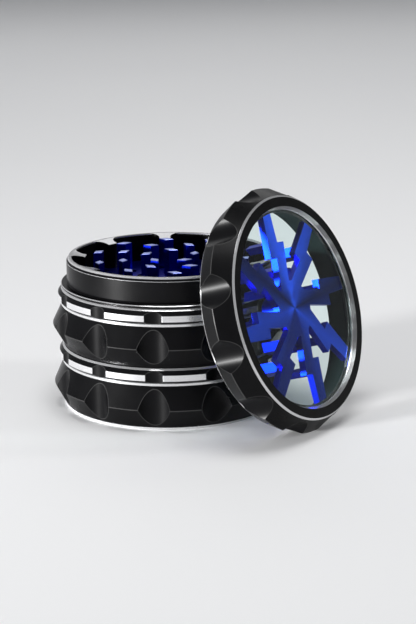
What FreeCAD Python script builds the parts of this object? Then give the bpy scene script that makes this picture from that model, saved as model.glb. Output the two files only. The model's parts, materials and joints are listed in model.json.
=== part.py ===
import FreeCAD, Part
import math
import os

"""Round four-layer hand grinder with a clear-window lid, 63 mm across.

Millimetres, +Z up. The origin is the centre of the face that the grinder stands on.
The stack (kief chamber, storage chamber, grinding tray) stands on the XY plane, and the
lid stands on its edge beside it, leaning on the stack.
"""

# ---- Driving dimensions: outside shape -------------------------------------------------
RIDGE_R = 31.5            # sharp ridge of every double-cone band: 63 mm across
RIDGE_LAND = 0.2          # height of the land left on the ridge
FOOT_R = 28.8             # outer edge of the foot
FOOT_CHAMFER = 0.8
FOOT_RIDGE_Z = 6.0        # ridge of the kief chamber
BAND_RISE = 5.9           # from the ridge of the kief chamber up to its ring
STORAGE_RIDGE_Z = 22.0    # ridge of the storage chamber
STORAGE_FOOT_R = 28.6     # lower edge of the storage chamber's band
STORAGE_RISE = 5.4        # from the ridge of the storage chamber up to its ring
NECK_R = 28.9             # where a band's upper cone ends
BEAD_R = 29.25            # thin bead under each ring
BEAD_H = 0.75
BEAD_EDGE = 0.1
RING_BASE_R = 29.15       # foot of the ring's two slopes
RING_FACE_R = 29.95       # cylindrical face of the ring, cut through by the flutes
RING_FACE_LOW = 1.5       # face starts this far above the ring's foot
RING_FACE_HIGH = 3.05
RING_CHAMFER = 0.45
RING_H = 4.6              # foot of the ring to the top of the chamber
SEAM = 0.2                # axial gap between two screwed pieces

# ---- Flutes ----------------------------------------------------------------------------
FLUTE_COUNT = 12
FLUTE_R = 5.3             # cutter radius
FLUTE_BOTTOM_R = 29.3     # nearest approach to the axis
LID_FLUTE_BOTTOM_R = 29.05
FLUTE_PHASE = 21.0        # degrees, stack
LID_FLUTE_PHASE = 8.7     # degrees, in the lid's own frame

# ---- Threads, drawn as rings of the same pitch ----------------------------------------
THREAD_BORE_R = 27.0
THREAD_CREST_R = 26.95
THREAD_ROOT_R = 26.45
THREAD_PITCH = 1.0
THREAD_LENGTH = 4.5
THREAD_ROOT_HALF = 0.35   # half widths of the groove-to-groove form, in pitches
THREAD_CREST_HALF = 0.08
BORE_CHAMFER = 0.3

# ---- Chambers --------------------------------------------------------------------------
KIEF_CAVITY_R = 25.4
KIEF_FLOOR = 2.0
FLOOR_RADIUS = 2.0
STORAGE_CAVITY_R = 25.0
SCREEN_SHOULDER_R = 24.0
SCREEN_BORE_R = 25.2
SCREEN_THICK = 0.25
SCREEN_LIP = 0.6          # straight part of the shoulder above the screen
SCREEN_LIP_SLOPE = 1.9    # and the slope above it
GASKET_THICK = 0.5
RETAINER_THICK = 0.8
RETAINER_IN_R = 23.4
INNER_GAP = 0.1           # between loose pieces inside
SLIP = 0.05               # radial play of a small piece in its seat

# ---- Grinding tray ---------------------------------------------------------------------
FLANGE_R = 29.1
FLANGE_H = 0.7
FLANGE_EDGE = 0.2
COLLAR_R = 27.5
COLLAR_TOP_Z = 39.7
COLLAR_CHAMFER_W = 0.6
COLLAR_CHAMFER_H = 1.0
COLLAR_GROOVE = 0.3       # depth of the undercut where the collar meets the flange
COLLAR_GROOVE_H = 0.5
POCKET_R = 26.2
LAND_COUNT = 9
LAND_PHASE = 93.5
LAND_TIP_R = 22.6
LAND_W = 3.0
LAND_FILLET = 2.6
LAND_DROP = 0.8           # the land's top falls by this much towards its tip
PLATE_R = 25.9
PLATE_THICK = 2.2
SPIGOT_IN_R = 25.95

TOOTH_H = 7.2
TOOTH_LONG = 4.2          # diagonals of the diamond section
TOOTH_SHORT = 2.5
TOOTH_TURN = -24.0        # long diagonal against the tangent
TOOTH_SHANK_R = 1.1
TOOTH_CHAMFER = 0.15
TOOTH_SEAT_FLOOR = 0.3    # left under a tooth's shank in the tooth plate
OUTER_TEETH = (10, 19.8, 93.0)     # count, radius, phase
MIDDLE_TEETH = (8, 13.4, 67.5)
INNER_TEETH = (5, 6.7, 16.0)
# Count, radius, phase and hole radius
DROP_HOLES = ((8, 10.0, 90.0, 1.9), (12, 16.6, 12.0, 1.9), (18, 22.6, 103.5, 1.6))

SCREW_COUNT = 3           # in every third land
SCREW_R = 0.85
SCREW_HEAD_R = 1.6
SCREW_RING_R = 24.3
SCREW_DEPTH = 4.0
SCREW_SPARE = 0.3         # left past the screw's end in its hole
HOLE_START = 0.5          # the hole's cutter starts this far below the lands
SLOT_L = 2.2              # screwdriver slot
SLOT_W = 0.5
SLOT_DEPTH = 0.4
MAGNET_R = 4.1
MAGNET_THICK = 1.2
MAGNET_POCKET_R = 4.3
MAGNET_CAP_R = 5.0
MAGNET_CAP_THICK = 0.5

# ---- Lid, in its own frame: face at z = 0, open end below ------------------------------
LID_H = 10.2
LID_RIDGE_DEPTH = 4.9
LID_EDGE_R = 28.75
LID_CHAMFER_W = 0.45
LID_CHAMFER_H = 0.4
LID_SKIRT_R = 29.3
LID_SKIRT_CHAMFER = 0.6
WINDOW_BORE_R = 25.3
WINDOW_R = 25.25
WINDOW_RECESS = 1.2
WINDOW_THICK = 1.0
WINDOW_CONE = 0.6         # the bore opens by this much from the window to the face
WINDOW_GASKET_THICK = 0.1
WINDOW_GASKET_IN_R = 24.7
LID_STEP_DEPTH = 3.0
MOUTH_R = 27.6
MOUTH_CHAMFER = 0.2
GLIDE_RING_THICK = 1.0
GLIDE_RING_IN_R = 26.5
STAR_THICK = 1.8
STAR_SEAT_FLOOR = 0.6     # left above a post's shank in the star
STAR_RAYS = 8
STAR_PHASE = 3.5
# One ray as (radius, degrees from the ray's tip), from the hub round to the hub again
RAY_OUTLINE = ((6.9, -8.5), (17.2, -13.2), (17.3, -3.7), (WINDOW_BORE_R, -4.2),
               (WINDOW_BORE_R, 3.6), (14.7, 15.0), (13.7, 5.2), (7.0, 27.5))
STAR_HUB_R = 7.2
POST_RINGS = (("lid_inner_posts", 10.2, 4.0), ("lid_outer_posts", 16.8, 0.5))
PIVOT_R = 4.0             # centre post that carries the lid's magnet
PIVOT_LENGTH = 5.9
PIVOT_BORE_R = 1.1
PIVOT_CHAMFER = 0.3
PIVOT_SCREW_HEAD_R = 2.0
PIVOT_SCREW_HEAD_H = 1.1
PIVOT_SCREW_GAP = 0.3     # from the magnet up to the screw's head
LID_MAGNET_R = 3.0
LID_MAGNET_THICK = 1.5

# ---- Where the lid stands --------------------------------------------------------------
LEAN = 17.55              # degrees that the lid's face looks up
LEAN_AZIMUTH = 55.71      # degrees from the front (-Y) towards +X that it faces
LEAN_GAP = 1.6            # from the lid's open end to the stack
LEAN_OFFSET = -3.65       # sideways, along the lid's own +X

# ---- Levels worked out from the above --------------------------------------------------
KIEF_RING_Z = FOOT_RIDGE_Z + BAND_RISE
KIEF_TOP_Z = KIEF_RING_Z + RING_H
STORAGE_FOOT_Z = KIEF_TOP_Z + SEAM
STORAGE_RING_Z = STORAGE_RIDGE_Z + STORAGE_RISE
STORAGE_TOP_Z = STORAGE_RING_Z + RING_H
FLANGE_Z = STORAGE_TOP_Z + SEAM
FLANGE_TOP_Z = FLANGE_Z + FLANGE_H
PLATE_TOP_Z = FLANGE_Z
PLATE_Z = PLATE_TOP_Z - PLATE_THICK
TOOTH_TOP_Z = PLATE_TOP_Z + TOOTH_H
THREAD_DEPTH = THREAD_LENGTH + 0.4
SCREEN_Z = STORAGE_FOOT_Z - THREAD_LENGTH + 2.0


def revolve(points):
    """Solid of revolution about Z from a closed outline of (r, z) points."""
    wire = Part.makePolygon([FreeCAD.Vector(r, 0, z) for r, z in points + points[:1]])
    return Part.Face(wire).revolve(FreeCAD.Vector(0, 0, 0), FreeCAD.Vector(0, 0, 1), 360)


def tube(outer_r, inner_r, z, height):
    """Plain ring, or a disc where inner_r is 0."""
    return revolve([(inner_r, z), (outer_r, z), (outer_r, z + height), (inner_r, z + height)])


def polar(radius, degrees):
    """Point on a circle about Z."""
    angle = math.radians(degrees)
    return FreeCAD.Vector(radius * math.cos(angle), radius * math.sin(angle), 0)


def turned(shape, degrees):
    """Copy of shape turned about Z."""
    copy = shape.copy()
    copy.rotate(FreeCAD.Vector(0, 0, 0), FreeCAD.Vector(0, 0, 1), degrees)
    return copy


def around(shape, count, phase=0.0):
    """Copies of shape spaced evenly about Z."""
    return [turned(shape, phase + index * 360.0 / count) for index in range(count)]


def fluted(shape, bottom_r, phase, low, high):
    """Cut the vertical grip flutes into shape."""
    centre = polar(bottom_r + FLUTE_R, 0) + FreeCAD.Vector(0, 0, low)
    cutter = Part.makeCylinder(FLUTE_R, high - low, centre)
    return shape.cut(around(cutter, FLUTE_COUNT, phase))


def band_outline(foot_r, foot_z, ridge_z, ring_z):
    """Outside of a chamber: lower cone, ridge, upper cone, bead and ring."""
    half = RIDGE_LAND / 2
    return [
        (foot_r, foot_z),
        (RIDGE_R, ridge_z - half),
        (RIDGE_R, ridge_z + half),
        (NECK_R, ring_z),
        (BEAD_R, ring_z + BEAD_EDGE),
        (BEAD_R, ring_z + BEAD_H - BEAD_EDGE),
        (RING_BASE_R, ring_z + BEAD_H),
        (RING_FACE_R, ring_z + RING_FACE_LOW),
        (RING_FACE_R, ring_z + RING_FACE_HIGH),
        (RING_BASE_R, ring_z + RING_H - RING_CHAMFER),
        (RING_BASE_R - RING_CHAMFER, ring_z + RING_H),
    ]


def thread_bore_outline(top_z):
    """Inside of a chamber's mouth, from the top down."""
    return [
        (THREAD_BORE_R + BORE_CHAMFER, top_z),
        (THREAD_BORE_R, top_z - BORE_CHAMFER),
        (THREAD_BORE_R, top_z - THREAD_DEPTH),
    ]


def thread_outline(top_z):
    """Outside of a threaded spigot, from its root at top_z down to its end."""
    points = [(THREAD_ROOT_R, top_z)]
    half = THREAD_PITCH / 2
    turns = int((THREAD_LENGTH - half) / THREAD_PITCH)
    for turn in range(turns):
        z = top_z - half - turn * THREAD_PITCH
        points.append((THREAD_ROOT_R, z + THREAD_ROOT_HALF * THREAD_PITCH))
        points.append((THREAD_CREST_R, z + THREAD_CREST_HALF * THREAD_PITCH))
        points.append((THREAD_CREST_R, z - THREAD_CREST_HALF * THREAD_PITCH))
        points.append((THREAD_ROOT_R, z - THREAD_ROOT_HALF * THREAD_PITCH))
    points.append((THREAD_ROOT_R, top_z - THREAD_LENGTH))
    return points


def kief_chamber():
    """Bottom cup that catches the fine powder."""
    outline = [(0, 0), (FOOT_R - FOOT_CHAMFER, 0)]
    outline += band_outline(FOOT_R, FOOT_CHAMFER, FOOT_RIDGE_Z, KIEF_RING_Z)
    outline += thread_bore_outline(KIEF_TOP_Z)
    outline += [
        (KIEF_CAVITY_R, KIEF_TOP_Z - THREAD_DEPTH),
        (KIEF_CAVITY_R, KIEF_FLOOR + FLOOR_RADIUS),
        (KIEF_CAVITY_R - 0.3 * FLOOR_RADIUS, KIEF_FLOOR + 0.3 * FLOOR_RADIUS),
        (KIEF_CAVITY_R - FLOOR_RADIUS, KIEF_FLOOR),
        (0, KIEF_FLOOR),
    ]
    return fluted(revolve(outline), FLUTE_BOTTOM_R, FLUTE_PHASE, -1, KIEF_TOP_Z + 1)


def storage_chamber():
    """Middle body: open right through, with the screen seat in its spigot."""
    outline = band_outline(STORAGE_FOOT_R, STORAGE_FOOT_Z, STORAGE_RIDGE_Z, STORAGE_RING_Z)
    outline += thread_bore_outline(STORAGE_TOP_Z)
    outline += [
        (STORAGE_CAVITY_R, STORAGE_TOP_Z - THREAD_DEPTH),
        (STORAGE_CAVITY_R, SCREEN_Z + SCREEN_LIP + SCREEN_LIP_SLOPE),
        (SCREEN_SHOULDER_R, SCREEN_Z + SCREEN_LIP),
        (SCREEN_SHOULDER_R, SCREEN_Z),
        (SCREEN_BORE_R, SCREEN_Z),
        (SCREEN_BORE_R, STORAGE_FOOT_Z - THREAD_LENGTH),
    ]
    outline += thread_outline(STORAGE_FOOT_Z)[::-1]
    return fluted(revolve(outline), FLUTE_BOTTOM_R, FLUTE_PHASE, KIEF_TOP_Z, STORAGE_TOP_Z + 1)


def screen_parts():
    """Screen, its gasket and the ring that holds both in the spigot, from the top down."""
    screen_low = SCREEN_Z - SCREEN_THICK
    gasket_low = screen_low - GASKET_THICK
    ring_low = gasket_low - INNER_GAP - RETAINER_THICK
    screen = tube(SCREEN_BORE_R - SLIP, 0, screen_low, SCREEN_THICK)
    gasket = tube(SCREEN_BORE_R - SLIP, SCREEN_SHOULDER_R, gasket_low, GASKET_THICK)
    retainer = tube(SCREEN_BORE_R - SLIP, RETAINER_IN_R, ring_low, RETAINER_THICK)
    return {"mesh_screen": screen, "screen_gasket": gasket, "screen_ring": retainer}


def screw_hole(radius, head_r, low_z, high_z, ring_r):
    """Countersunk hole or screw: head at low_z, pointing up."""
    head_h = head_r - radius
    outline = [
        (0, low_z),
        (head_r, low_z),
        (radius, low_z + head_h),
        (radius, high_z),
        (0, high_z),
    ]
    shape = revolve(outline)
    shape.translate(FreeCAD.Vector(ring_r, 0, 0))
    return shape


def rim_lands():
    """Inward lands of the tray's wall, with hollow corners where they meet it."""
    depth = COLLAR_TOP_Z - PLATE_TOP_Z
    wall = tube(COLLAR_R - 0.2, POCKET_R, PLATE_TOP_Z, depth)
    land = Part.makeBox(
        COLLAR_R - 0.5 - LAND_TIP_R, LAND_W, depth,
        FreeCAD.Vector(LAND_TIP_R, -LAND_W / 2, PLATE_TOP_Z),
    )
    joined = wall.fuse(around(land, LAND_COUNT, LAND_PHASE)).removeSplitter()
    corners = []
    for edge in joined.Edges:
        ends = [vertex.Point for vertex in edge.Vertexes]
        if len(ends) != 2 or abs(ends[0].z - ends[1].z) < depth - 0.1:
            continue
        radius = math.hypot(ends[0].x, ends[0].y)
        if abs(radius - POCKET_R) < 0.05:
            corners.append(edge)
    rounded = joined.makeFillet(LAND_FILLET, corners)
    inner = LAND_TIP_R - 1
    fall = LAND_DROP * (POCKET_R - inner) / (POCKET_R - LAND_TIP_R)
    slope = revolve([
        (inner, COLLAR_TOP_Z - fall),
        (POCKET_R, COLLAR_TOP_Z),
        (POCKET_R, COLLAR_TOP_Z + 1),
        (inner, COLLAR_TOP_Z + 1),
    ])
    return rounded.cut(slope)


def grinding_rim():
    """Black wall of the grinding tray: spigot, flange, collar and lands in one piece."""
    outline = thread_outline(FLANGE_Z)[::-1]
    outline += [
        (FLANGE_R - FLANGE_EDGE, FLANGE_Z),
        (FLANGE_R, FLANGE_Z + FLANGE_EDGE),
        (FLANGE_R, FLANGE_TOP_Z - FLANGE_EDGE),
        (FLANGE_R - FLANGE_EDGE, FLANGE_TOP_Z),
        (COLLAR_R, FLANGE_TOP_Z),
        (COLLAR_R - COLLAR_GROOVE, FLANGE_TOP_Z + COLLAR_GROOVE_H / 2),
        (COLLAR_R, FLANGE_TOP_Z + COLLAR_GROOVE_H),
        (COLLAR_R, COLLAR_TOP_Z - COLLAR_CHAMFER_H),
        (COLLAR_R - COLLAR_CHAMFER_W, COLLAR_TOP_Z),
        (POCKET_R, COLLAR_TOP_Z),
        (POCKET_R, PLATE_TOP_Z),
        (SPIGOT_IN_R, PLATE_TOP_Z),
        (SPIGOT_IN_R, FLANGE_Z - THREAD_LENGTH),
    ]
    collar_skin = tube(COLLAR_R + 3, COLLAR_R - COLLAR_CHAMFER_W, PLATE_TOP_Z - 1, 20)
    rim = revolve(outline).fuse(rim_lands().cut(collar_skin)).removeSplitter()
    hole = Part.makeCylinder(SCREW_R + SLIP, SCREW_DEPTH,
                             FreeCAD.Vector(SCREW_RING_R, 0, PLATE_TOP_Z - HOLE_START))
    return rim.cut(around(hole, SCREW_COUNT, LAND_PHASE))


def tooth(low_z, high_z, shank_low, shank_high, ring_r, tip_up):
    """Diamond tooth on +X at ring_r, chamfered at its free end, with a round shank."""
    long_half = TOOTH_LONG / 2
    short_half = TOOTH_SHORT / 2
    corners = [(0, long_half), (-short_half, 0), (0, -long_half), (short_half, 0)]
    points = [FreeCAD.Vector(x, y, low_z) for x, y in corners + corners[:1]]
    body = Part.Face(Part.makePolygon(points)).extrude(FreeCAD.Vector(0, 0, high_z - low_z))
    tip_z = high_z if tip_up else low_z
    edges = [edge for edge in body.Edges
             if all(abs(vertex.Point.z - tip_z) < 0.01 for vertex in edge.Vertexes)]
    body = body.makeChamfer(TOOTH_CHAMFER, edges)
    shank = Part.makeCylinder(TOOTH_SHANK_R, shank_high - shank_low,
                              FreeCAD.Vector(0, 0, shank_low))
    whole = turned(body.fuse(shank).removeSplitter(), TOOTH_TURN)
    whole.translate(FreeCAD.Vector(ring_r, 0, 0))
    return whole


def tray_teeth(ring):
    """One ring of the tray's teeth as separate solids."""
    count, ring_r, phase = ring
    one = tooth(PLATE_TOP_Z, TOOTH_TOP_Z, PLATE_Z + TOOTH_SEAT_FLOOR, PLATE_TOP_Z, ring_r, True)
    return Part.Compound(around(one, count, phase))


def tooth_plate():
    """Blue floor of the tray, with drop holes and the seats of teeth, screws and magnet."""
    plate = tube(PLATE_R, 0, PLATE_Z, PLATE_THICK)
    cutters = []
    for count, ring_r, phase, hole_r in DROP_HOLES:
        hole = Part.makeCylinder(hole_r, PLATE_THICK + 2,
                                 FreeCAD.Vector(ring_r, 0, PLATE_Z - 1))
        cutters += around(hole, count, phase)
    for count, ring_r, phase in (OUTER_TEETH, MIDDLE_TEETH, INNER_TEETH):
        seat = Part.makeCylinder(TOOTH_SHANK_R, PLATE_THICK,
                                 FreeCAD.Vector(ring_r, 0, PLATE_Z + TOOTH_SEAT_FLOOR))
        cutters += around(seat, count, phase)
    screw = screw_hole(SCREW_R + SLIP, SCREW_HEAD_R + SLIP, PLATE_Z, PLATE_TOP_Z + 1,
                       SCREW_RING_R)
    cutters += around(screw, SCREW_COUNT, LAND_PHASE)
    pocket_h = MAGNET_THICK + 2 * INNER_GAP
    cutters.append(Part.makeCylinder(MAGNET_POCKET_R, pocket_h,
                                     FreeCAD.Vector(0, 0, PLATE_Z)))
    return plate.cut(cutters)


def plate_screws():
    """Countersunk screws that hold the plate up against the lands."""
    top = PLATE_TOP_Z + SCREW_DEPTH - HOLE_START - SCREW_SPARE
    screw = screw_hole(SCREW_R, SCREW_HEAD_R, PLATE_Z, top, SCREW_RING_R)
    slot = Part.makeBox(SLOT_L, SLOT_W, SLOT_DEPTH,
                        FreeCAD.Vector(SCREW_RING_R - SLOT_L / 2, -SLOT_W / 2, PLATE_Z))
    return Part.Compound(around(screw.cut(slot), SCREW_COUNT, LAND_PHASE))


def tray_magnet():
    """Disc magnet in the pocket under the plate's centre."""
    return tube(MAGNET_R, 0, PLATE_Z + INNER_GAP, MAGNET_THICK)


def magnet_cap():
    """Steel disc that closes the magnet's pocket from below."""
    return tube(MAGNET_CAP_R, 0, PLATE_Z - MAGNET_CAP_THICK, MAGNET_CAP_THICK)


def lid_shell():
    """Fluted ring of the lid: bezel, window bore and the mouth that fits the collar."""
    half = RIDGE_LAND / 2
    outline = [
        (MOUTH_R + MOUTH_CHAMFER, -LID_H),
        (LID_SKIRT_R - LID_SKIRT_CHAMFER, -LID_H),
        (LID_SKIRT_R, -LID_H + LID_SKIRT_CHAMFER),
        (RIDGE_R, -LID_RIDGE_DEPTH - half),
        (RIDGE_R, -LID_RIDGE_DEPTH + half),
        (LID_EDGE_R, -LID_CHAMFER_H),
        (LID_EDGE_R - LID_CHAMFER_W, 0),
        (WINDOW_BORE_R + WINDOW_CONE, 0),
        (WINDOW_BORE_R, -WINDOW_RECESS),
        (WINDOW_BORE_R, -LID_STEP_DEPTH),
        (MOUTH_R, -LID_STEP_DEPTH),
        (MOUTH_R, -LID_H + MOUTH_CHAMFER),
    ]
    return fluted(revolve(outline), LID_FLUTE_BOTTOM_R, LID_FLUTE_PHASE, -LID_H - 1, 1)


def star_level():
    """Front face of the star plate."""
    return -(WINDOW_RECESS + WINDOW_THICK + WINDOW_GASKET_THICK)


def star_ray(low_z):
    """One bolt-shaped ray of the star, pointing along +X."""
    points = [polar(radius, angle) + FreeCAD.Vector(0, 0, low_z)
              for radius, angle in RAY_OUTLINE]
    tip_arc = Part.Arc(points[3], polar(WINDOW_BORE_R, 0) + FreeCAD.Vector(0, 0, low_z),
                       points[4]).toShape()
    heart = FreeCAD.Vector(0, 0, low_z)
    edges = [Part.LineSegment(heart, points[0]).toShape()]
    for first, second in zip(points[:3], points[1:4]):
        edges.append(Part.LineSegment(first, second).toShape())
    edges.append(tip_arc)
    for first, second in zip(points[4:7], points[5:8]):
        edges.append(Part.LineSegment(first, second).toShape())
    edges.append(Part.LineSegment(points[7], heart).toShape())
    return Part.Face(Part.Wire(edges)).extrude(FreeCAD.Vector(0, 0, STAR_THICK))


def star_plate():
    """Blue star behind the window, with seats for its posts and the pivot."""
    low = star_level() - STAR_THICK
    hub = Part.makeCylinder(STAR_HUB_R, STAR_THICK, FreeCAD.Vector(0, 0, low))
    star = hub.fuse(around(star_ray(low), STAR_RAYS, STAR_PHASE)).removeSplitter()
    cutters = []
    for _, ring_r, shift in POST_RINGS:
        seat = Part.makeCylinder(TOOTH_SHANK_R, STAR_THICK - STAR_SEAT_FLOOR,
                                 FreeCAD.Vector(ring_r, 0, low))
        cutters += around(seat, STAR_RAYS, STAR_PHASE + shift)
    cutters.append(Part.makeCylinder(PIVOT_BORE_R, STAR_THICK - STAR_SEAT_FLOOR,
                                     FreeCAD.Vector(0, 0, low)))
    return star.cut(cutters)


def lid_posts(ring_r, shift):
    """One ring of the lid's teeth, hanging from the star as separate solids."""
    star_low = star_level() - STAR_THICK
    one = tooth(-LID_H, star_low, star_low, star_low + STAR_THICK - STAR_SEAT_FLOOR, ring_r, False)
    return Part.Compound(around(one, STAR_RAYS, STAR_PHASE + shift))


def pivot_parts():
    """Centre post, the screw up its bore and the magnet that closes its lower end."""
    top = star_level() - STAR_THICK
    low = top - PIVOT_LENGTH
    magnet_top = low + LID_MAGNET_THICK
    head_low = magnet_top + PIVOT_SCREW_GAP
    head_top = head_low + PIVOT_SCREW_HEAD_H
    screw_top = top + STAR_THICK - STAR_SEAT_FLOOR
    post = revolve([
        (PIVOT_BORE_R, top),
        (PIVOT_R, top),
        (PIVOT_R, low + PIVOT_CHAMFER),
        (PIVOT_R - PIVOT_CHAMFER, low),
        (LID_MAGNET_R + SLIP, low),
        (LID_MAGNET_R + SLIP, head_top),
        (PIVOT_BORE_R, head_top),
    ])
    screw = revolve([
        (0, head_low),
        (PIVOT_SCREW_HEAD_R, head_low),
        (PIVOT_SCREW_HEAD_R, head_top),
        (PIVOT_BORE_R, head_top),
        (PIVOT_BORE_R, screw_top),
        (0, screw_top),
    ])
    magnet = tube(LID_MAGNET_R, 0, low, LID_MAGNET_THICK)
    return {"pivot_post": post, "pivot_screw": screw, "lid_magnet": magnet}


def lid_parts():
    """Every piece of the lid, in the lid's own frame."""
    window_low = -WINDOW_RECESS - WINDOW_THICK
    parts = {
        "lid_shell": lid_shell(),
        "lid_window": tube(WINDOW_R, 0, window_low, WINDOW_THICK),
        "window_gasket": tube(WINDOW_R, WINDOW_GASKET_IN_R,
                              window_low - WINDOW_GASKET_THICK, WINDOW_GASKET_THICK),
        "star_plate": star_plate(),
        "glide_ring": tube(MOUTH_R - INNER_GAP, GLIDE_RING_IN_R,
                           -LID_STEP_DEPTH - GLIDE_RING_THICK, GLIDE_RING_THICK - SLIP),
    }
    for name, ring_r, shift in POST_RINGS:
        parts[name] = lid_posts(ring_r, shift)
    parts.update(pivot_parts())
    return parts


def stack_reach(cos_lean, sin_lean):
    """Furthest that the stack reaches along the lid's outward direction."""
    corners = (
        (RIDGE_R, STORAGE_RIDGE_Z),
        (RING_FACE_R, STORAGE_RING_Z + RING_FACE_HIGH),
        (FLANGE_R, FLANGE_TOP_Z),
        (COLLAR_R, COLLAR_TOP_Z - COLLAR_CHAMFER_H),
    )
    return max(r * cos_lean + z * sin_lean for r, z in corners)


def lid_placement():
    """Lid standing on its ridge and leaning, its open end towards the stack."""
    lean = math.radians(LEAN)
    azimuth = math.radians(LEAN_AZIMUTH)
    cos_lean = math.cos(lean)
    sin_lean = math.sin(lean)
    across = FreeCAD.Vector(math.cos(azimuth), math.sin(azimuth), 0)
    away = FreeCAD.Vector(math.sin(azimuth), -math.cos(azimuth), 0)
    outward = away * cos_lean + FreeCAD.Vector(0, 0, sin_lean)
    upward = outward.cross(across)
    open_plane = stack_reach(cos_lean, sin_lean) + LEAN_GAP
    ridge_plane = open_plane + LID_H - LID_RIDGE_DEPTH
    ridge_z = RIDGE_R * cos_lean
    ridge_s = (ridge_plane - ridge_z * sin_lean) / cos_lean
    ridge_centre = away * ridge_s + across * LEAN_OFFSET + FreeCAD.Vector(0, 0, ridge_z)
    face_centre = ridge_centre + outward * LID_RIDGE_DEPTH
    return FreeCAD.Matrix(
        across.x, upward.x, outward.x, face_centre.x,
        across.y, upward.y, outward.y, face_centre.y,
        across.z, upward.z, outward.z, face_centre.z,
        0, 0, 0, 1,
    )


def main():
    """Build every node and write one STEP file for each."""
    parts = {
        "kief_chamber": kief_chamber(),
        "storage_chamber": storage_chamber(),
        "grinding_rim": grinding_rim(),
        "tooth_plate": tooth_plate(),
        "outer_teeth": tray_teeth(OUTER_TEETH),
        "middle_teeth": tray_teeth(MIDDLE_TEETH),
        "inner_teeth": tray_teeth(INNER_TEETH),
        "plate_screws": plate_screws(),
        "tray_magnet": tray_magnet(),
        "magnet_cap": magnet_cap(),
    }
    parts.update(screen_parts())
    placement = lid_placement()
    for name, shape in lid_parts().items():
        shape.Placement = FreeCAD.Placement(placement).multiply(shape.Placement)
        parts[name] = shape
    os.makedirs("parts", exist_ok=True)
    for name, shape in parts.items():
        shape.exportStep("parts/" + name + ".step")
        print(name, len(shape.Solids), round(shape.Volume, 1), shape.isValid())


main()
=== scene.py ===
import json
import math

import bpy
from mathutils import Matrix, Vector

# Looks of the round hand grinder: black and blue anodised aluminium, bright cuts and a clear lid.
# Blender works in metres. The sizes that finishes need are in millimetres, because the class Axis
# gives every finish its place on the object in millimetres.

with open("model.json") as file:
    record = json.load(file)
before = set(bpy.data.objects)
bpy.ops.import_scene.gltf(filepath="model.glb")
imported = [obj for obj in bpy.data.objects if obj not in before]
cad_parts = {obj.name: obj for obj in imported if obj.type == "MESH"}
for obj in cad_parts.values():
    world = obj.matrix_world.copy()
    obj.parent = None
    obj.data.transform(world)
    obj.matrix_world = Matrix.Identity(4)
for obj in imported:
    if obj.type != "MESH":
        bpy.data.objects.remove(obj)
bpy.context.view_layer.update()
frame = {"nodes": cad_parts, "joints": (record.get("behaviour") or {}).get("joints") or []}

MM = 0.001
TO_MM = 1000.0

# ---- Sizes of the stack, in millimetres, with heights from the foot ---------------------
MARGIN = 0.02             # takes in a face that lies exactly at a limit
FOOT_CUT = (0.01, 0.82)   # bright chamfer round the foot
FOOT_CUT_MIN_R = 27.95
RING_Z = (11.9, 27.4)     # foot of each chamber's ring
RING_H = 4.6
RING_MIN_R = 28.6         # everything bright on a ring is outside this
RING_FACE = (1.48, 3.07)  # the ring's cylindrical face, above the ring's foot
RING_FACE_MIN_R = 29.9
BEAD_H = 0.78
CUT_H = 0.46              # bright chamfer on top of the ring
BAND_MIN_R = 28.4         # the fluted bands are outside this
RIDGE_Z = (6.0, 22.0)
RIDGE_MIN_R = 31.4
RIDGE_HALF = 0.13         # half height of the line of wear and painted highlight along a ridge
FLANGE_TOP_Z = 32.9
FLANGE_CUT_H = 0.21
FLANGE_CUT_MIN_R = 28.92
LAND_TOP_MIN_Z = 38.6     # faces that look up above this are bare
UP_LIMIT = 0.9            # a face looks up when its normal's height is over this
COLLAR_RIM_MIN_R = 26.0
COLLAR_RIM_MIN_Z = 39.3
# Painted glint: a thin line of bare metal at the lower edge of the collar's chamfer, standing in
# for light caught by a rounded edge.
COLLAR_GLINT_MIN_R = 27.2
COLLAR_EDGE_GLINT = (38.66, 38.76)
# Above this height the teeth's tops get a lighter blue, a painted highlight.
TOOTH_TOP_HIGHLIGHT_Z = 39.3        # just under the teeth's tops
FLUTE_COUNT = 12
FLUTE_R = 5.3
FLUTE_AXIS_R = 34.6       # from the stack's axis to a flute's axis
FLUTE_PHASE = 21.0        # degrees
FLUTE_EDGE_LINE = (0.015, 0.11)  # the line of wear and painted edge highlight, outward from the edge of a flute

# ---- Sizes of the lid, in millimetres, with depths from its face along its own axis -----
LID_FLUTE_AXIS_R = 34.35
LID_FLUTE_PHASE = 8.7     # degrees
LID_RIDGE_Z = -4.9
FACE_EDGE_Z = (-0.42, -0.005)
FACE_EDGE_R = (28.28, 28.9)
CONE_Z = (-2.0, -0.01)    # cone from the face down to the window
CONE_R = (25.2, 25.92)
CONE_SHINE = 0.4
GLASS_EDGE_Z = -0.95      # the cone is fully bright below this
SKIRT_EDGE_Z = (-10.3, -9.58)
SKIRT_EDGE_R = (28.68, 29.4)
INNER_WALL_MAX_R = 27.75
INNER_WALL_MAX_Z = -2.2
STAR_FRONT_Z = -2.32      # just behind the star's front face
WIRE_PITCH = 0.4          # of the screen's weave: one wave of each wire


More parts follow.
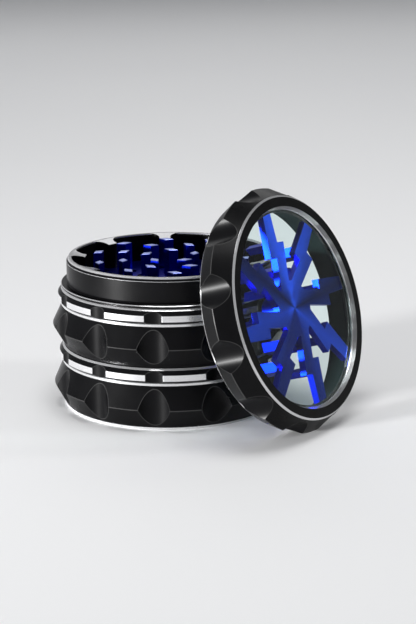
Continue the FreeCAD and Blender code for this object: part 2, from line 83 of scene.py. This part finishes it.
# ---- Node helpers ----------------------------------------------------------------------
class Nodes:
    """Small builder for one material's node tree."""

    def __init__(self, name):
        self.material = bpy.data.materials.new(name)
        self.material.use_nodes = True
        self.tree = self.material.node_tree
        self.shader = self.tree.nodes["Principled BSDF"]
        self.output = self.tree.nodes["Material Output"]

    def add(self, kind, **settings):
        node = self.tree.nodes.new(kind)
        for key, value in settings.items():
            setattr(node, key, value)
        return node

    def plug(self, socket, value):
        """Link a socket to value, or set it where value is a number or a colour."""
        if isinstance(value, bpy.types.NodeSocket):
            self.tree.links.new(value, socket)
        else:
            socket.default_value = value

    def math(self, operation, first, second=0.0, third=0.0):
        node = self.add("ShaderNodeMath", operation=operation)
        for socket, value in zip(node.inputs, (first, second, third)):
            self.plug(socket, value)
        return node.outputs[0]

    def vector(self, operation, first, second=(0, 0, 0)):
        node = self.add("ShaderNodeVectorMath", operation=operation)
        self.plug(node.inputs[0], first)
        self.plug(node.inputs[1], second)
        return node.outputs["Value" if operation == "DOT_PRODUCT" else "Vector"]

    def vary(self, grain, low, swing):
        """A number that follows the grain, from low up to low + swing."""
        return self.math("MULTIPLY_ADD", grain, swing, low)

    def above(self, value, limit):
        """1 where value > limit, else 0."""
        return self.math("GREATER_THAN", value, limit)

    def between(self, value, low, high):
        """1 where low < value < high, else 0."""
        below = self.math("LESS_THAN", value, high)
        return self.math("MULTIPLY", self.above(value, low), below)

    def all_of(self, *masks):
        result = masks[0]
        for mask in masks[1:]:
            result = self.math("MULTIPLY", result, mask)
        return result

    def any_of(self, *masks):
        result = masks[0]
        for mask in masks[1:]:
            result = self.math("MAXIMUM", result, mask)
        return result

    def mix(self, factor, first, second):
        """Blend of two colours."""
        node = self.add("ShaderNodeMix", data_type="RGBA")
        self.plug(node.inputs["Factor"], factor)
        self.plug(node.inputs["A"], first)
        self.plug(node.inputs["B"], second)
        return node.outputs["Result"]

    def blend(self, factor, first, second):
        """Blend of two numbers."""
        node = self.add("ShaderNodeMix", data_type="FLOAT")
        self.plug(node.inputs["Factor"], factor)
        self.plug(node.inputs["A"], first)
        self.plug(node.inputs["B"], second)
        return node.outputs["Result"]

    def noise(self, vector, scale, detail=2.0, roughness=0.5):
        node = self.add("ShaderNodeTexNoise")
        self.plug(node.inputs["Vector"], vector)
        node.inputs["Scale"].default_value = scale
        node.inputs["Detail"].default_value = detail
        node.inputs["Roughness"].default_value = roughness
        return node.outputs["Fac"]

    def ramp(self, value, stops):
        """Colour ramp through (position, colour) stops."""
        node = self.add("ShaderNodeValToRGB")
        self.plug(node.inputs["Fac"], value)
        elements = node.color_ramp.elements
        while len(elements) < len(stops):
            elements.new(0.5)
        for element, (position, colour) in zip(elements, stops):
            element.position = position
            element.color = colour
        return node.outputs["Color"]

    def combine(self, x, y, z):
        node = self.add("ShaderNodeCombineXYZ")
        for socket, value in zip(node.inputs, (x, y, z)):
            self.plug(socket, value)
        return node.outputs[0]

    def bump(self, height, strength, distance_mm):
        node = self.add("ShaderNodeBump")
        node.inputs["Strength"].default_value = strength
        node.inputs["Distance"].default_value = distance_mm * MM
        self.plug(node.inputs["Height"], height)
        return node.outputs["Normal"]

    def set(self, name, value):
        self.plug(self.shader.inputs[name], value)


class Axis:
    """Cylindrical coordinates, in millimetres, about an axis of the object at rest."""

    def __init__(self, nodes, origin=(0, 0, 0), along=(0, 0, 1), across=(1, 0, 0)):
        along = Vector(along).normalized()
        across = Vector(across).normalized()
        third = along.cross(across)
        place = nodes.add("ShaderNodeTexCoord").outputs["Object"]
        place = nodes.vector("SUBTRACT", place, tuple(origin))
        self.x = nodes.math("MULTIPLY", nodes.vector("DOT_PRODUCT", place, across), TO_MM)
        self.y = nodes.math("MULTIPLY", nodes.vector("DOT_PRODUCT", place, third), TO_MM)
        self.z = nodes.math("MULTIPLY", nodes.vector("DOT_PRODUCT", place, along), TO_MM)
        self.r = nodes.math("SQRT", nodes.math(
            "ADD", nodes.math("MULTIPLY", self.x, self.x), nodes.math("MULTIPLY", self.y, self.y)))
        self.angle = nodes.math("ARCTAN2", self.y, self.x)
        self.place = nodes.combine(self.x, self.y, self.z)
        self.lathe = nodes.combine(nodes.math("MULTIPLY", self.angle, 2.0), self.r, self.z)


def lid_axis(nodes):
    """The lid's own axis, from the joint that it spins on."""
    joint = next(j for j in frame["joints"] if j["name"] == "lid_spin")
    along = Vector(joint["axis"])
    across = Vector((0, 0, 1)).cross(along)
    return Axis(nodes, joint["pos_m"], along, across)


# ---- Materials -------------------------------------------------------------------------
BLACK = (0.0010, 0.0010, 0.0012, 1)
BLACK_SMUDGED = (0.0030, 0.0030, 0.0034, 1)
# Grey line on flute edges and ridges: edge wear and a painted edge highlight.
EDGE_WEAR_AND_HIGHLIGHT = (0.022, 0.022, 0.022, 1)
# Lighter, greener black of the lid's inner wall: a painted sheen.
INNER_WALL_SHEEN_BLACK = (0.006, 0.011, 0.011, 1)
BARE = (0.66, 0.66, 0.67, 1)
BARE_DULL = (0.46, 0.46, 0.47, 1)
BARE_METALLIC = 0.8


def flute_edges(nodes, axis, axis_r, phase):
    """1 on the thin line where a flute cuts the outside."""
    step = 2 * math.pi / FLUTE_COUNT
    turn = nodes.math("SUBTRACT", axis.angle, math.radians(phase) - step / 2)
    local = nodes.math("SUBTRACT", nodes.math("FLOORED_MODULO", turn, step), step / 2)
    along = nodes.math("SUBTRACT", nodes.math("MULTIPLY", axis.r, nodes.math("COSINE", local)),
                       axis_r)
    beside = nodes.math("MULTIPLY", axis.r, nodes.math("SINE", local))
    distance = nodes.math("SQRT", nodes.math(
        "ADD", nodes.math("MULTIPLY", along, along), nodes.math("MULTIPLY", beside, beside)))
    return nodes.between(distance, FLUTE_R + FLUTE_EDGE_LINE[0], FLUTE_R + FLUTE_EDGE_LINE[1])


def ridge_wear_and_highlight(nodes, axis, height):
    """1 on the line of wear and painted highlight along a band's ridge."""
    return nodes.all_of(nodes.above(axis.r, RIDGE_MIN_R),
                        nodes.between(axis.z, height - RIDGE_HALF, height + RIDGE_HALF))


def two_tone(nodes, axis, bright, wear_and_highlight, inner_wall_sheen=0.0):
    """Satin black anodising, with bare cut metal where bright is 1, and a thin grey line of edge
    wear and painted edge highlight where the wear mask is 1.

    Where the inner-wall mask is 1, the lid's inner wall gets a cooler, lighter black: a painted
    sheen.
    """
    turning = nodes.noise(nodes.combine(0.0, axis.r, axis.z), 9.0, 2.0)
    grain = nodes.noise(axis.lathe, 9.0, 3.0)
    smudge = nodes.noise(axis.place, 0.11, 3.0)
    black = nodes.mix(smudge, BLACK, BLACK_SMUDGED)
    # Edge wear and painted edge highlight, as a grey line.
    black_with_wear_and_sheen = nodes.mix(wear_and_highlight, black, EDGE_WEAR_AND_HIGHLIGHT)
    # Painted sheen: the lid's inner wall gets a lighter, greener black.
    black_with_wear_and_sheen = nodes.mix(inner_wall_sheen, black_with_wear_and_sheen, INNER_WALL_SHEEN_BLACK)
    bare = nodes.mix(turning, BARE, BARE_DULL)
    nodes.set("Base Color", nodes.mix(bright, black_with_wear_and_sheen, bare))
    nodes.set("Metallic", nodes.math("MULTIPLY", bright, BARE_METALLIC))
    nodes.set("Specular IOR Level", 0.085)
    satin = nodes.vary(smudge, 0.24, 0.10)
    cut = nodes.vary(grain, 0.16, 0.10)
    nodes.set("Roughness", nodes.blend(bright, satin, cut))
    nodes.set("Normal", nodes.bump(turning, 0.10, 0.015))


def stack_finish():
    """Kief chamber, storage chamber and tray wall."""
    nodes = Nodes("black_anodised_stack")
    axis = Axis(nodes)
    on_ring = nodes.above(axis.r, RING_MIN_R)
    bright = [nodes.all_of(nodes.above(axis.r, FOOT_CUT_MIN_R),
                           nodes.between(axis.z, *FOOT_CUT))]
    for foot in RING_Z:
        top = foot + RING_H
        bright.append(nodes.all_of(on_ring, nodes.between(axis.z, foot, foot + BEAD_H)))
        bright.append(nodes.all_of(
            nodes.above(axis.r, RING_FACE_MIN_R),
            nodes.between(axis.z, foot + RING_FACE[0], foot + RING_FACE[1])))
        bright.append(nodes.all_of(on_ring, nodes.between(axis.z, top - CUT_H, top + MARGIN)))
    bright.append(nodes.all_of(
        nodes.above(axis.r, FLANGE_CUT_MIN_R),
        nodes.between(axis.z, FLANGE_TOP_Z - FLANGE_CUT_H, FLANGE_TOP_Z + MARGIN)))
    normal = nodes.add("ShaderNodeTexCoord").outputs["Normal"]
    height_of_normal = nodes.vector("DOT_PRODUCT", normal, (0, 0, 1))
    bright.append(nodes.all_of(
        nodes.above(height_of_normal, UP_LIMIT), nodes.above(axis.z, LAND_TOP_MIN_Z)))
    bright.append(nodes.all_of(
        nodes.above(axis.r, COLLAR_RIM_MIN_R), nodes.above(axis.z, COLLAR_RIM_MIN_Z)))
    # Painted glint: thin bare line at the lower edge of the collar's chamfer.
    bright.append(nodes.all_of(
        nodes.above(axis.r, COLLAR_GLINT_MIN_R), nodes.between(axis.z, *COLLAR_EDGE_GLINT)))
    flutes = flute_edges(nodes, axis, FLUTE_AXIS_R, FLUTE_PHASE)
    # Flute edges and ridges get a grey line of edge wear and painted highlight.
    wear_and_highlight = nodes.any_of(
        nodes.all_of(nodes.above(axis.r, BAND_MIN_R), flutes),
        *[ridge_wear_and_highlight(nodes, axis, height) for height in RIDGE_Z])
    two_tone(nodes, axis, nodes.any_of(*bright), wear_and_highlight)
    return nodes.material


def lid_finish():
    """Lid shell: bright edges of face, window and skirt."""
    nodes = Nodes("black_anodised_lid")
    axis = lid_axis(nodes)
    cone = nodes.all_of(nodes.between(axis.z, *CONE_Z), nodes.between(axis.r, *CONE_R))
    bright = nodes.any_of(
        nodes.all_of(nodes.between(axis.z, *FACE_EDGE_Z), nodes.between(axis.r, *FACE_EDGE_R)),
        nodes.math("MULTIPLY", cone, CONE_SHINE),
        nodes.all_of(cone, nodes.math("LESS_THAN", axis.z, GLASS_EDGE_Z)),
        nodes.all_of(nodes.between(axis.z, *SKIRT_EDGE_Z), nodes.between(axis.r, *SKIRT_EDGE_R)))
    # The lid's inner wall, which gets a painted sheen.
    inner_wall_sheen = nodes.all_of(
        nodes.math("LESS_THAN", axis.r, INNER_WALL_MAX_R),
        nodes.math("LESS_THAN", axis.z, INNER_WALL_MAX_Z))
    flutes = flute_edges(nodes, axis, LID_FLUTE_AXIS_R, LID_FLUTE_PHASE)
    # Flute edges and the ridge get a grey line of edge wear and painted highlight.
    wear_and_highlight = nodes.any_of(
        nodes.all_of(nodes.above(axis.r, BAND_MIN_R), flutes),
        ridge_wear_and_highlight(nodes, axis, LID_RIDGE_Z))
    two_tone(nodes, axis, bright, wear_and_highlight, inner_wall_sheen)
    return nodes.material


def blue_finish():
    """Tooth plate and the tray's teeth, with a painted highlight: the teeth's tops get a lighter
    blue.
    """
    nodes = Nodes("blue_anodised")
    axis = Axis(nodes)
    grain = nodes.noise(axis.place, 3.0, 3.0)
    body = nodes.mix(grain, (0.001, 0.006, 0.30, 1), (0.002, 0.012, 0.42, 1))
    # Painted highlight: the teeth's tops, which face the lamps above, get a lighter lavender blue.
    top = nodes.above(axis.z, TOOTH_TOP_HIGHLIGHT_Z)
    nodes.set("Base Color", nodes.mix(top, body, (0.34, 0.40, 0.80, 1)))
    nodes.set("Metallic", 1.0)
    nodes.set("Roughness", nodes.vary(grain, 0.27, 0.15))
    nodes.set("Normal", nodes.bump(nodes.noise(axis.place, 12.0, 2.0), 0.1, 0.02))
    return nodes.material


def star_finish():
    """Blue star turned on a lathe. Its front gets painted highlights: bright and dark fans from
    its centre, painted in the base colour.
    """
    nodes = Nodes("blue_star")
    axis = lid_axis(nodes)
    grain = nodes.noise(nodes.combine(axis.angle, nodes.math("MULTIPLY", axis.r, 6.0), 0.0),
                        2.0, 4.0)
    turn = nodes.math("FRACT", nodes.math("MULTIPLY_ADD", axis.angle, 0.5 / math.pi, 0.5))
    # Painted highlights: fans of light and dark round the star's centre are painted into the base
    # colour, standing in for the shine of the turned face.
    painted_highlight_fans = nodes.ramp(turn, (
        (0.00, (0.022, 0.085, 0.80, 1)),
        (0.13, (0.001, 0.004, 0.07, 1)),
        (0.25, (0.002, 0.009, 0.12, 1)),
        (0.38, (0.022, 0.090, 0.82, 1)),
        (0.51, (0.001, 0.004, 0.06, 1)),
        (0.64, (0.024, 0.100, 0.86, 1)),
        (0.76, (0.022, 0.090, 0.80, 1)),
        (0.88, (0.001, 0.004, 0.06, 1)),
        (1.00, (0.022, 0.085, 0.80, 1)),
    ))
    front = nodes.above(axis.z, STAR_FRONT_Z)
    side = (0.001, 0.010, 0.36, 1)
    shade = nodes.mix(nodes.math("MULTIPLY", grain, 0.25), painted_highlight_fans, (0.01, 0.03, 0.3, 1))
    nodes.set("Base Color", nodes.mix(front, side, shade))
    nodes.set("Metallic", 1.0)
    nodes.set("Roughness", nodes.vary(grain, 0.24, 0.14))
    nodes.set("Anisotropic", 0.6)
    place = nodes.combine(axis.x, axis.y, 0.0)
    nodes.set("Normal", nodes.bump(nodes.noise(place, 6.0, 2.0), 0.05, 0.02))
    return nodes.material


def plain_metal(name, colour, roughness):
    """Bare metal with a fine grain."""
    nodes = Nodes(name)
    axis = Axis(nodes)
    grain = nodes.noise(axis.place, 6.0, 3.0)
    dark = tuple(0.75 * c for c in colour[:3]) + (1,)
    nodes.set("Base Color", nodes.mix(grain, colour, dark))
    nodes.set("Metallic", 1.0)
    nodes.set("Roughness", nodes.vary(grain, roughness, 0.15))
    return nodes.material


def woven_finish():
    """Stainless wire cloth of the screen, with painted shade in the weave's dips and a painted
    highlight on its crests.
    """
    nodes = Nodes("wire_cloth")
    axis = Axis(nodes)
    waves = []
    for value in (axis.x, axis.y):
        turns = nodes.math("MULTIPLY", value, 2 * math.pi / WIRE_PITCH)
        waves.append(nodes.math("SINE", turns))
    height = nodes.math("MULTIPLY", waves[0], waves[1])
    # Painted shade and highlight: the colour goes from dark in the weave's dips to light on its
    # crests.
    nodes.set("Base Color", nodes.mix(
        nodes.vary(height, 0.5, 0.5), (0.12, 0.12, 0.12, 1), (0.6, 0.6, 0.6, 1)))
    nodes.set("Metallic", 1.0)
    nodes.set("Roughness", 0.35)
    nodes.set("Normal", nodes.bump(height, 0.8, 0.1))
    return nodes.material


def soft_finish(name, colour, roughness):
    """Nylon or silicone, with a slight mottle."""
    nodes = Nodes(name)
    axis = Axis(nodes)
    grain = nodes.noise(axis.place, 4.0, 3.0)
    lighter = tuple(min(1.0, c * 1.6 + 0.01) for c in colour[:3]) + (1,)
    nodes.set("Base Color", nodes.mix(grain, colour, lighter))
    nodes.set("Roughness", nodes.vary(grain, roughness, 0.12))
    nodes.set("Normal", nodes.bump(grain, 0.1, 0.05))
    return nodes.material


def window_finish():
    """Clear acrylic: bends and mirrors what the eye sees, and lets lamps through."""
    nodes = Nodes("clear_window")
    axis = lid_axis(nodes)
    haze = nodes.noise(axis.place, 0.3, 3.0)
    nodes.set("Base Color", (0.84, 0.96, 0.95, 1))
    nodes.set("Transmission Weight", 1.0)
    nodes.set("IOR", 1.22)
    nodes.set("Roughness", nodes.math("MULTIPLY", haze, 0.02))
    clear = nodes.add("ShaderNodeBsdfTransparent")
    clear.inputs["Color"].default_value = (0.92, 0.97, 0.96, 1)
    chooser = nodes.add("ShaderNodeMixShader")
    light_path = nodes.add("ShaderNodeLightPath")
    nodes.plug(chooser.inputs["Fac"], light_path.outputs["Is Shadow Ray"])
    nodes.plug(chooser.inputs[1], nodes.shader.outputs["BSDF"])
    nodes.plug(chooser.inputs[2], clear.outputs["BSDF"])
    nodes.plug(nodes.output.inputs["Surface"], chooser.outputs["Shader"])
    return nodes.material


def finish_nodes():
    """Give every CAD node its finish."""
    stack = stack_finish()
    lid = lid_finish()
    blue = blue_finish()
    star = star_finish()
    steel = plain_metal("stainless_steel", (0.62, 0.62, 0.63, 1), 0.25)
    nickel = plain_metal("nickel_plate", (0.66, 0.64, 0.60, 1), 0.15)
    silicone = soft_finish("black_silicone", (0.02, 0.02, 0.02, 1), 0.6)
    finishes = {
        "kief_chamber": stack,
        "storage_chamber": stack,
        "grinding_rim": stack,
        "lid_shell": lid,
        "tooth_plate": blue,
        "outer_teeth": blue,
        "middle_teeth": blue,
        "inner_teeth": blue,
        "star_plate": star,
        "lid_inner_posts": star,
        "lid_outer_posts": star,
        "pivot_post": star,
        "plate_screws": steel,
        "pivot_screw": steel,
        "magnet_cap": steel,
        "screen_ring": steel,
        "mesh_screen": woven_finish(),
        "tray_magnet": nickel,
        "lid_magnet": nickel,
        "lid_window": window_finish(),
        "glide_ring": soft_finish("black_nylon", (0.02, 0.02, 0.02, 1), 0.45),
        "screen_gasket": silicone,
        "window_gasket": silicone,
    }
    for name, material in finishes.items():
        node = frame["nodes"][name]
        node.data.materials.clear()
        node.data.materials.append(material)


# ---- Floor, light and camera, in metres -------------------------------------------------
FLOOR_WIDTH = 12.0
FLOOR_FRONT_Y = -6.0
FLOOR_BACK_Y = 1.2
CURVE_R = 0.6             # from the floor up into the backdrop
CURVE_STEPS = 12
BACKDROP_H = 2.5

CAMERA_PLACE = (0, -0.47167, 0.14829)
CAMERA_FORWARD = (0.02008636, 0.96655893, -0.25565674)
CAMERA_UP = (0.01788995, 0.25531992, 0.9666911)
SENSOR_MM = 36
LENS_MM = 105.44


def pale_floor():
    """Floor that curves up into a backdrop far behind the object."""
    profile = [(FLOOR_FRONT_Y, 0.0), (FLOOR_BACK_Y, 0.0)]
    for step in range(1, CURVE_STEPS + 1):
        turn = math.radians(90 * step / CURVE_STEPS)
        profile.append((FLOOR_BACK_Y + CURVE_R * math.sin(turn), CURVE_R * (1 - math.cos(turn))))
    profile.append((FLOOR_BACK_Y + CURVE_R, BACKDROP_H))
    vertices = [(side * FLOOR_WIDTH / 2, y, z) for y, z in profile for side in (-1, 1)]
    faces = [(2 * i, 2 * i + 1, 2 * i + 3, 2 * i + 2) for i in range(len(profile) - 1)]
    mesh = bpy.data.meshes.new("pale_floor")
    mesh.from_pydata(vertices, [], faces)
    mesh.polygons.foreach_set("use_smooth", [True] * len(faces))
    floor = bpy.data.objects.new("pale_floor", mesh)
    bpy.context.scene.collection.objects.link(floor)
    nodes = Nodes("pale_floor")
    place = nodes.add("ShaderNodeTexCoord").outputs["Object"]
    nodes.set("Base Color", nodes.mix(
        nodes.noise(place, 3.0), (0.80, 0.80, 0.81, 1), (0.84, 0.84, 0.84, 1)))
    nodes.set("Roughness", 0.7)
    mesh.materials.append(nodes.material)


def area_light(name, place, target, size, power, spread=180):
    """Soft rectangular lamp aimed at target, whose beam spreads over an angle in degrees."""
    data = bpy.data.lights.new(name, "AREA")
    data.shape = "RECTANGLE"
    data.size, data.size_y = size
    data.energy = power
    data.spread = math.radians(spread)
    lamp = bpy.data.objects.new(name, data)
    lamp.location = place
    aim = Vector(target) - Vector(place)
    lamp.rotation_euler = aim.to_track_quat("-Z", "Y").to_euler()
    lamp.visible_camera = False
    bpy.context.scene.collection.objects.link(lamp)


def studio_light():
    """Pale surroundings and four lamps: a low key from the left, and soft ones all round."""
    scene = bpy.context.scene
    scene.view_settings.view_transform = "Standard"
    world = bpy.data.worlds.new("studio")
    world.use_nodes = True
    background = world.node_tree.nodes["Background"]
    background.inputs["Color"].default_value = (0.95, 0.97, 1.0, 1)
    background.inputs["Strength"].default_value = 0.30
    scene.world = world
    target = (0.01, 0, 0.03)
    area_light("key", (-1.05, -0.60, 0.055), target, (0.20, 0.10), 3.8, spread=50)
    area_light("top", (0.0, -0.10, 1.0), target, (0.55, 0.4), 4.2)
    area_light("back", (-0.1, 0.9, 0.6), target, (1.0, 0.5), 1.6)
    area_light("side", (1.3, -0.16, 0.5), target, (0.25, 0.6), 1.0, spread=80)


def camera():
    """Camera at the viewing angle that the object is shown from."""
    forward = Vector(CAMERA_FORWARD)
    right = forward.cross(Vector(CAMERA_UP)).normalized()
    up = right.cross(forward).normalized()
    back = -forward.normalized()
    data = bpy.data.cameras.new("camera")
    data.sensor_width = SENSOR_MM
    data.lens = LENS_MM
    view = bpy.data.objects.new("camera", data)
    turn = Matrix((right, up, back)).transposed().to_4x4()
    view.matrix_world = Matrix.Translation(CAMERA_PLACE) @ turn
    bpy.context.scene.collection.objects.link(view)
    bpy.context.scene.camera = view


camera()
pale_floor()
studio_light()
finish_nodes()
